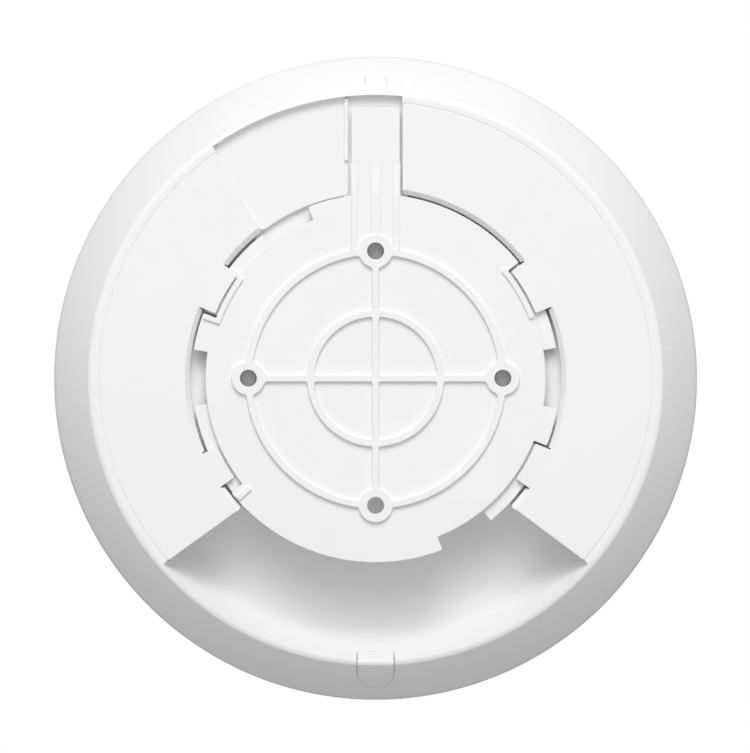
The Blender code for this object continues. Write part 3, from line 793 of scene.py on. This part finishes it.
TONGUE = ("tongue", "locking_tongue", "white_plastic")
for number, x in enumerate(TONGUE_RIBS):
    half = (0.75, 1.17, 0.8)[number]
    root = 35.0 if number == 1 else 31.95
    straight_rib(f"root_rib_{number + 1}", x, half, (root, BEND_Y), (TONGUE_RIB_TOP, TONGUE_RIB_TOP),
                 PLATE_TOP, PLATE)
    straight_rib(f"tongue_rib_{number + 1}", x, half, (BEND_Y, 53.6), (TONGUE_RIB_TOP, PLATE_TOP - 0.02),
                 PLATE_TOP, TONGUE)
blade = line((-6.0, 45.8), (6.0, 45.8), (6.0, 67.2), (-6.0, 67.2))
moulding("tongue_blade", [plain(blade, 0.25, 0.3)], edge(0.12, PLATE_TOP, TONGUE_BOTTOM), *TONGUE, floor=True)


def root_web():
    """The thin skin that joins tongue and plate: level across the bending line, its edges dipping under."""
    x, y = np.linspace(-1, 1, 31)[:, None], np.linspace(-1, 1, 15)[None, :]
    dip = 0.03 * np.maximum(np.abs(x), np.abs(y)) ** 12
    points = np.stack([5.95 * x + 0 * y, BEND_Y + 0.95 * y + 0 * x, PLATE_TOP + 0.006 - dip], axis=-1)
    sheet("root_web", points, *TONGUE)


root_web()
STOPS = (
    ("stop_rib_right", np.vstack([arc(42.3, 21.0, 40.5), arc(41.0, 40.5, 21.0)])),
    ("stop_rib_left", np.vstack([arc(42.3, 143.0, 159.3), arc(45.5, 159.4, 160.9), arc(41.0, 160.9, 143.0)])),
    ("stop_arm_low", np.vstack([arc(45.4, 220.2, 221.9), arc(41.3, 221.9, 220.2)])),
)
for name, points in STOPS:
    moulding(name, [plain(points, 0.2, 0.2)], edge(0.12, STOP_TOP, -1.4), *PLATE)


# ---- Cable plug --------------------------------------------------------------------------------------
def cable_plug():
    """The plug's face in columns along Y, each ending where the sloping band meets the plug's round bottom.

    Below it the round-bottomed section is carried outwards, no higher than the face.
    """
    x = np.sin(np.linspace(-1, 1, 41) * math.pi / 2)
    depth = PLUG_AXIS_Z + WAY_RISE - PLUG_HALF * np.sqrt(1 - x ** 2)
    fine = np.linspace(71.45, 79.6, 800)
    end = np.interp(-depth, -taper(fine), fine)
    head = np.array([(67.6, -9.2), (67.6, -8.3), (67.66, -7.9), (70.15, -1.2), (70.35, -0.84), (70.55, -0.8),
                     (71.2, -1.06), (71.45, -1.25)])
    share = np.linspace(0, 1, 14)[1:, None]
    y = np.vstack([np.tile(head[:, :1], (1, len(x))), 71.45 + (end - 71.45)[None, :] * share])
    z = np.vstack([np.tile(head[:, 1:], (1, len(x))), taper(y[len(head):])])
    z = np.maximum(z - 0.1 * np.clip((np.abs(x) - 0.97) / 0.03, 0, 1) ** 2, depth - np.interp(
        y, [67.6, 77.0], [WAY_RISE, 0.0]))
    points = np.stack([np.broadcast_to(x * PLUG_HALF, y.shape), -y, z], axis=-1)
    sheet("plug_face", points[::-1], "cable_plug", "cable_plug", "white_plastic", sharp=40)
    reach = np.array([67.6, 69.0, 70.35, 71.4, 73.0, 75.0, 77.2])
    top = np.interp(reach, [67.6, 70.35, 71.4, 77.2], [-8.3, -0.8, -1.2, taper(77.2)]) - 0.12
    wall = np.vstack([[(-PLUG_HALF, 0.0)], np.c_[x * PLUG_HALF, depth], [(PLUG_HALF, 0.0)]])
    y = np.broadcast_to(-reach[None, :], (len(wall), len(reach)))
    sink = np.interp(reach, [67.6, 77.0], [WAY_RISE, 0.0])[None, :]
    points = np.stack([np.broadcast_to(wall[:, :1], y.shape), y, np.minimum(wall[:, 1:] - sink, top[None, :])],
                      axis=-1)
    sheet("plug_underside", points, "cable_plug", "cable_plug", "white_plastic", sharp=40)


cable_plug()


# ---- Front cover, light ring and centre cap ----------------------------------------------------------
def dome(r):
    """Height of the front's outer face: a flattened arch of power 2.3 from the rim to the middle."""
    return -11.3 - 21.7 * (1 - np.clip(np.asarray(r) / OUTER_R, 0, 1) ** 2.3) ** (1 / 2.3)


bow = np.r_[79.98, 79.93, 79.85, 79.7, 79.4, 79.0, 78.3, 77.4, 76.2, 74.6, 72.5, 70.0, 66.0, 61.0, 55.0, 48.0,
            40.0, 34.0, 31.85]
cover = [(77.6, -12.0), (77.6, -11.46), (79.25, -11.45), (79.6, -11.46), (79.83, -11.52), (79.94, -11.62)]
cover += np.c_[bow, dome(bow)].tolist()
cover += [(31.6, dome(31.6) + 0.04), (31.42, dome(31.4) + 0.25), (31.4, -29.4)]
turned("front_shell", cover, "unit", "front_cover", "cover_plastic")
turned("light_ring_lens", [
    (31.05, -29.2), (31.05, -31.6), (30.9, -31.82), (30.6, -31.9), (28.7, -32.02), (26.8, -32.05),
    (26.5, -31.98), (26.35, -31.8), (26.35, -29.2),
], "unit", "light_ring", "light_guide", 240)
cap = np.array([26.0, 25.95, 25.8, 25.5, 24.0, 20.0, 15.0, 10.0, 5.0, 0.001])
cap_height = dome(cap) + np.array([0.5, 0.2, 0.05, 0, 0, 0, 0, 0, 0, 0])
turned("cap_face", [(26.0, -29.4)] + np.c_[cap, cap_height].tolist(), "unit", "centre_cap", "cover_plastic",
       240)


# ---- Studio ------------------------------------------------------------------------------------------
def stage_material(name, colour, glow, diffuse):
    """Matt material of the floor or card: it reflects the share diffuse and glows by glow."""
    made = bpy.data.materials.new(name)
    made.use_nodes = True
    shader = made.node_tree.nodes["Principled BSDF"]
    shader.inputs["Base Color"].default_value = (diffuse, diffuse, diffuse, 1.0)
    shader.inputs["Roughness"].default_value = 0.9
    shader.inputs["Specular IOR Level"].default_value = 0.0
    shader.inputs["Emission Color"].default_value = (*colour, 1.0)
    shader.inputs["Emission Strength"].default_value = glow
    return made


def flat_sheet(name, half, z, look, seen, lights):
    """A level square, half to each side of the middle. seen shows it to the camera, lights to other rays."""
    mesh = bpy.data.meshes.new(name)
    corners = [(-half, -half, z), (half, -half, z), (half, half, z), (-half, half, z)]
    mesh.from_pydata(corners, [], [(0, 1, 2, 3)])
    obj = bpy.data.objects.new(name, mesh)
    bpy.context.scene.collection.objects.link(obj)
    mesh.materials.append(look)
    obj.visible_camera = seen
    obj.visible_diffuse = lights
    obj.visible_glossy = lights
    obj.visible_shadow = lights
    obj.visible_transmission = lights


def area_light(name, place, size, power):
    """A round lamp at a place, turned to face the middle."""
    light = bpy.data.lights.new(name, "AREA")
    light.shape = "DISK"
    light.size = size
    light.energy = power
    obj = bpy.data.objects.new(name, light)
    bpy.context.scene.collection.objects.link(obj)
    obj.location = place
    obj.rotation_euler = (-Vector(place)).to_track_quat("-Z", "Y").to_euler()
    obj.visible_camera = False


flat_sheet("floor", 6.0, -0.0335, stage_material("floor_white", (1.0, 1.0, 1.0), 1.0, 0.08), True, False)
flat_sheet("bounce_card", 0.6, -0.0332, stage_material("bounce_white", (1.0, 1.0, 1.0), 0.0, 0.12), False,
           True)
area_light("softbox", (0.0, 1.543, 1.839), 1.8, 21.4)
area_light("key", (0.0, 1.839, 1.543), 1.2, 20.6)

world = bpy.data.worlds.new("studio")
bpy.context.scene.world = world
world.use_nodes = True
world.node_tree.nodes["Background"].inputs["Color"].default_value = (1.0, 1.0, 1.0, 1.0)
world.node_tree.nodes["Background"].inputs["Strength"].default_value = 0.545

# The camera's distance, and the width of its view: the object's 160 mm are 640.6 of its 750 parts
DISTANCE = 6.0
WIDTH = 0.160 * 750.0 / 640.6
camera = bpy.data.cameras.new("camera")
camera.sensor_width = 36.0
camera.lens = 36.0 * DISTANCE / WIDTH
camera.clip_end = 50.0
eye = bpy.data.objects.new("camera", camera)
bpy.context.scene.collection.objects.link(eye)
eye.location = (-0.00015, 0.00045, DISTANCE - 0.011)
bpy.context.scene.camera = eye
bpy.context.scene.view_settings.view_transform = "Standard"
